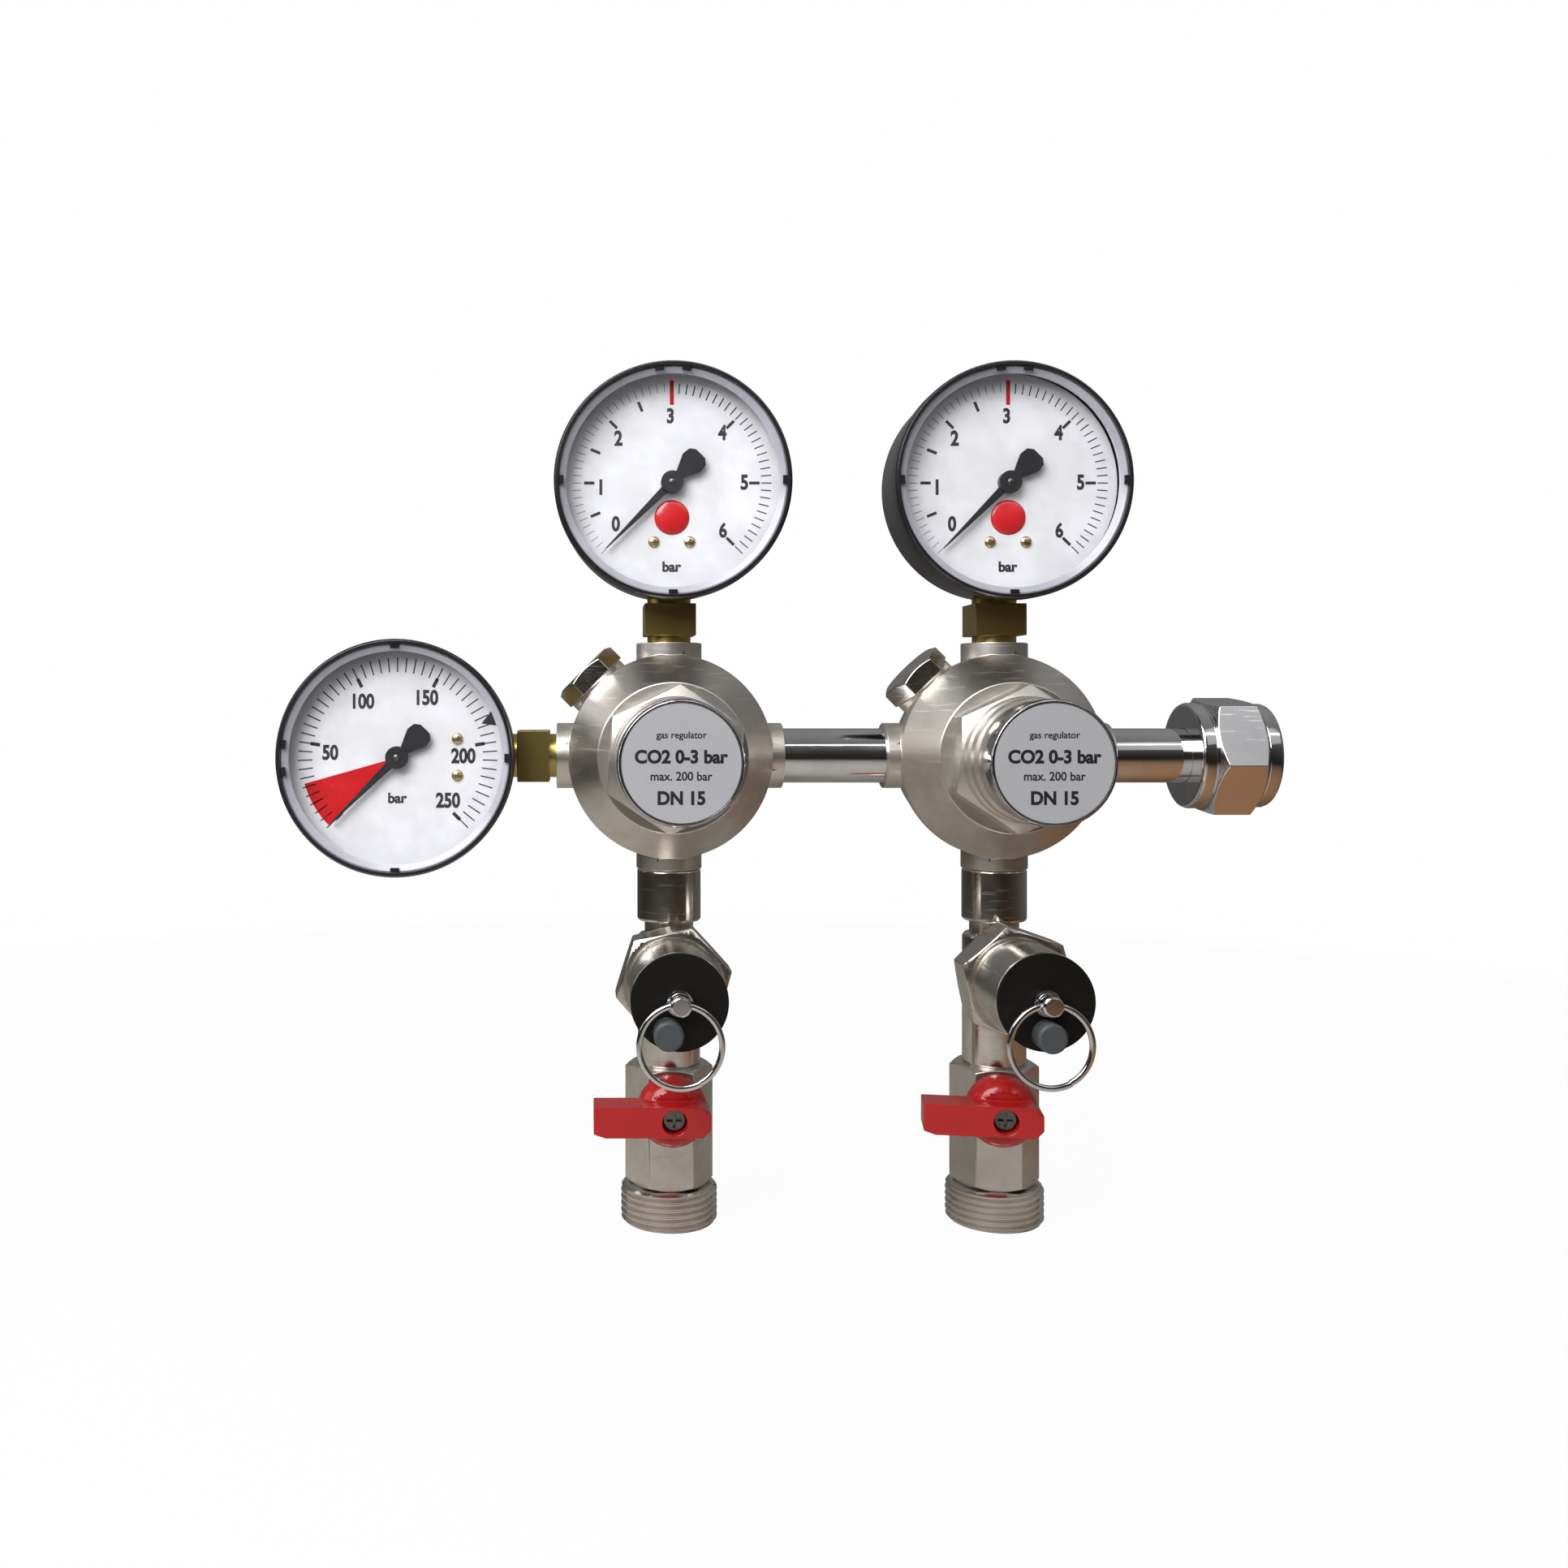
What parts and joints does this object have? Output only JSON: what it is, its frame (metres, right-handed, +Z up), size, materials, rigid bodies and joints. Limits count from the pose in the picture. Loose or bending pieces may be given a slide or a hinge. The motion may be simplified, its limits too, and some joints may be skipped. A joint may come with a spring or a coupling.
{
  "type": "carbon dioxide regulator",
  "caption": "Gas pressure regulator with a bottle union nut, round dial gauges, adjusting caps, pull-ring relief valves and lever ball valves on threaded outlets.",
  "frame": {"origin": "centre of the inlet washer's sealing face, inside the union nut", "axes": "+X along the inlet axis out of the union nut, +Z up towards the working gauges, and the adjusting caps face -Y"},
  "size_m": [0.2689, 0.0692, 0.2329],
  "materials": {
    "satin_nickel": "satin nickel plate on turned and forged brass",
    "bright_nickel": "bright nickel plate on brass, lightly brushed",
    "worn_nickel": "nickel plate worn through to brass at the corners",
    "chrome_pipe": "polished chrome plate on brass",
    "chrome_cap": "polished chrome plate on turned brass",
    "chrome_steel": "polished chromed steel",
    "brass": "plain machined brass",
    "spring_steel": "drawn spring steel",
    "rubber_plate": "moulded rubber with its plate",
    "washer_fibre": "dark sealing washer",
    "label_foil": "satin printed foil",
    "black_plastic": "glossy black moulding",
    "red_plastic": "glossy red moulding",
    "gauge_steel": "dark lacquered steel with a polished rim",
    "clear_window": "clear snap-in window",
    "dial_white": "white printed dial plate",
    "pointer_black": "black lacquer"
  },
  "bodies": {
    "regulator": {"left_body": "satin_nickel", "left_bonnet": "satin_nickel", "left_diaphragm": "rubber_plate", "left_port_plug": "worn_nickel", "left_main_spring": "spring_steel", "left_outlet_tee": "bright_nickel", "left_relief_body": "bright_nickel", "left_relief_cap": "black_plastic", "left_relief_spring": "spring_steel", "left_valve_body": "bright_nickel", "left_outlet_end": "bright_nickel", "right_body": "satin_nickel", "right_bonnet": "satin_nickel", "right_diaphragm": "rubber_plate", "right_port_plug": "worn_nickel", "right_main_spring": "spring_steel", "right_outlet_tee": "bright_nickel", "right_relief_body": "bright_nickel", "right_relief_cap": "black_plastic", "right_relief_spring": "spring_steel", "right_valve_body": "bright_nickel", "right_outlet_end": "bright_nickel", "left_gauge_case": "gauge_steel", "left_gauge_window": "clear_window", "left_gauge_dial": "dial_white", "left_gauge_socket": "brass", "right_gauge_case": "gauge_steel", "right_gauge_window": "clear_window", "right_gauge_dial": "dial_white", "right_gauge_socket": "brass", "bottle_gauge_case": "gauge_steel", "bottle_gauge_window": "clear_window", "bottle_gauge_dial": "dial_white", "bottle_gauge_socket": "brass", "valve_seats": "brass", "link_pipe": "chrome_pipe", "inlet_pipe": "chrome_pipe", "inlet_washer": "washer_fibre"},
    "left_adjuster": {"left_knob": "chrome_cap", "left_label": "label_foil"},
    "left_button": {"left_spring_button": "brass"},
    "left_valve_pin": {"left_poppet": "brass"},
    "left_relief_pin": {"left_relief_stem": "chrome_steel"},
    "left_ring": {"left_pull_ring": "chrome_steel"},
    "left_lever": {"left_ball": "chrome_cap", "left_handle": "red_plastic", "left_handle_screw": "spring_steel"},
    "right_adjuster": {"right_knob": "chrome_cap", "right_label": "label_foil"},
    "right_button": {"right_spring_button": "brass"},
    "right_valve_pin": {"right_poppet": "brass"},
    "right_relief_pin": {"right_relief_stem": "chrome_steel"},
    "right_ring": {"right_pull_ring": "chrome_steel"},
    "right_lever": {"right_ball": "chrome_cap", "right_handle": "red_plastic", "right_handle_screw": "spring_steel"},
    "left_pointer": {"left_gauge_pointer": "pointer_black"},
    "right_pointer": {"right_gauge_pointer": "pointer_black"},
    "bottle_pointer": {"bottle_gauge_pointer": "pointer_black"},
    "union_nut": {"inlet_nut": "chrome_pipe"}
  },
  "joints": [
    {"name": "left_adjuster_turn", "type": "hinge", "parent": "regulator", "child": "left_adjuster", "pos_m": [-0.152, 0, 0], "axis": [0, 1, 0], "range_deg": [-360, 720]},
    {"name": "left_button_slide", "type": "slide", "parent": "regulator", "child": "left_button", "axis": [0, 1, 0], "range_m": [-0.0016, 0.0031], "deforming": ["left_main_spring"]},
    {"name": "left_valve_pin_slide", "type": "slide", "parent": "regulator", "child": "left_valve_pin", "axis": [0, 1, 0], "range_m": [0, 0.001], "stiffness_N_per_m": 500, "deforming": ["left_diaphragm"]},
    {"name": "left_relief_pull", "type": "slide", "parent": "regulator", "child": "left_relief_pin", "axis": [0, -1, 0], "range_m": [0, 0.003], "stiffness_N_per_m": 2000, "springref_m": -0.005, "deforming": ["left_relief_spring"]},
    {"name": "left_ring_swing", "type": "hinge", "parent": "left_relief_pin", "child": "left_ring", "pos_m": [-0.152, -0.0492, -0.059], "axis": [1, 0, 0], "range_deg": [-170, 8]},
    {"name": "left_lever_turn", "type": "hinge", "parent": "regulator", "child": "left_lever", "pos_m": [-0.152, 0, -0.094], "axis": [0, 1, 0], "range_deg": [-90, 0]},
    {"name": "right_adjuster_turn", "type": "hinge", "parent": "regulator", "child": "right_adjuster", "pos_m": [-0.062, 0, 0], "axis": [0, 1, 0], "range_deg": [-360, 720]},
    {"name": "right_button_slide", "type": "slide", "parent": "regulator", "child": "right_button", "axis": [0, 1, 0], "range_m": [-0.0016, 0.0031], "deforming": ["right_main_spring"]},
    {"name": "right_valve_pin_slide", "type": "slide", "parent": "regulator", "child": "right_valve_pin", "axis": [0, 1, 0], "range_m": [0, 0.001], "stiffness_N_per_m": 500, "deforming": ["right_diaphragm"]},
    {"name": "right_relief_pull", "type": "slide", "parent": "regulator", "child": "right_relief_pin", "axis": [0, -1, 0], "range_m": [0, 0.003], "stiffness_N_per_m": 2000, "springref_m": -0.005, "deforming": ["right_relief_spring"]},
    {"name": "right_ring_swing", "type": "hinge", "parent": "right_relief_pin", "child": "right_ring", "pos_m": [-0.062, -0.0492, -0.059], "axis": [1, 0, 0], "range_deg": [-170, 8]},
    {"name": "right_lever_turn", "type": "hinge", "parent": "regulator", "child": "right_lever", "pos_m": [-0.062, 0, -0.094], "axis": [0.1564, 0.9877, 0], "range_deg": [-90, 0]},
    {"name": "left_pointer_turn", "type": "hinge", "parent": "regulator", "child": "left_pointer", "pos_m": [-0.152, 0, 0.0734], "axis": [0, 1, 0], "range_deg": [0, 270], "stiffness_Nm_per_rad": 0.01},
    {"name": "right_pointer_turn", "type": "hinge", "parent": "regulator", "child": "right_pointer", "pos_m": [-0.062, 0, 0.0734], "axis": [0, 1, 0], "range_deg": [0, 270], "stiffness_Nm_per_rad": 0.01},
    {"name": "bottle_pointer_turn", "type": "hinge", "parent": "regulator", "child": "bottle_pointer", "pos_m": [-0.2254, 0, 0], "axis": [0, 1, 0], "range_deg": [0, 270], "stiffness_Nm_per_rad": 0.01},
    {"name": "union_nut_turn", "type": "hinge", "parent": "regulator", "child": "union_nut", "pos_m": [0, 0, 0], "axis": [1, 0, 0], "continuous": true}
  ],
  "couplings": [
    {"joint": "left_button_slide", "follows": "left_adjuster_turn", "m_per_rad": 0.00023873},
    {"joint": "right_button_slide", "follows": "right_adjuster_turn", "m_per_rad": 0.00023873}
  ]
}
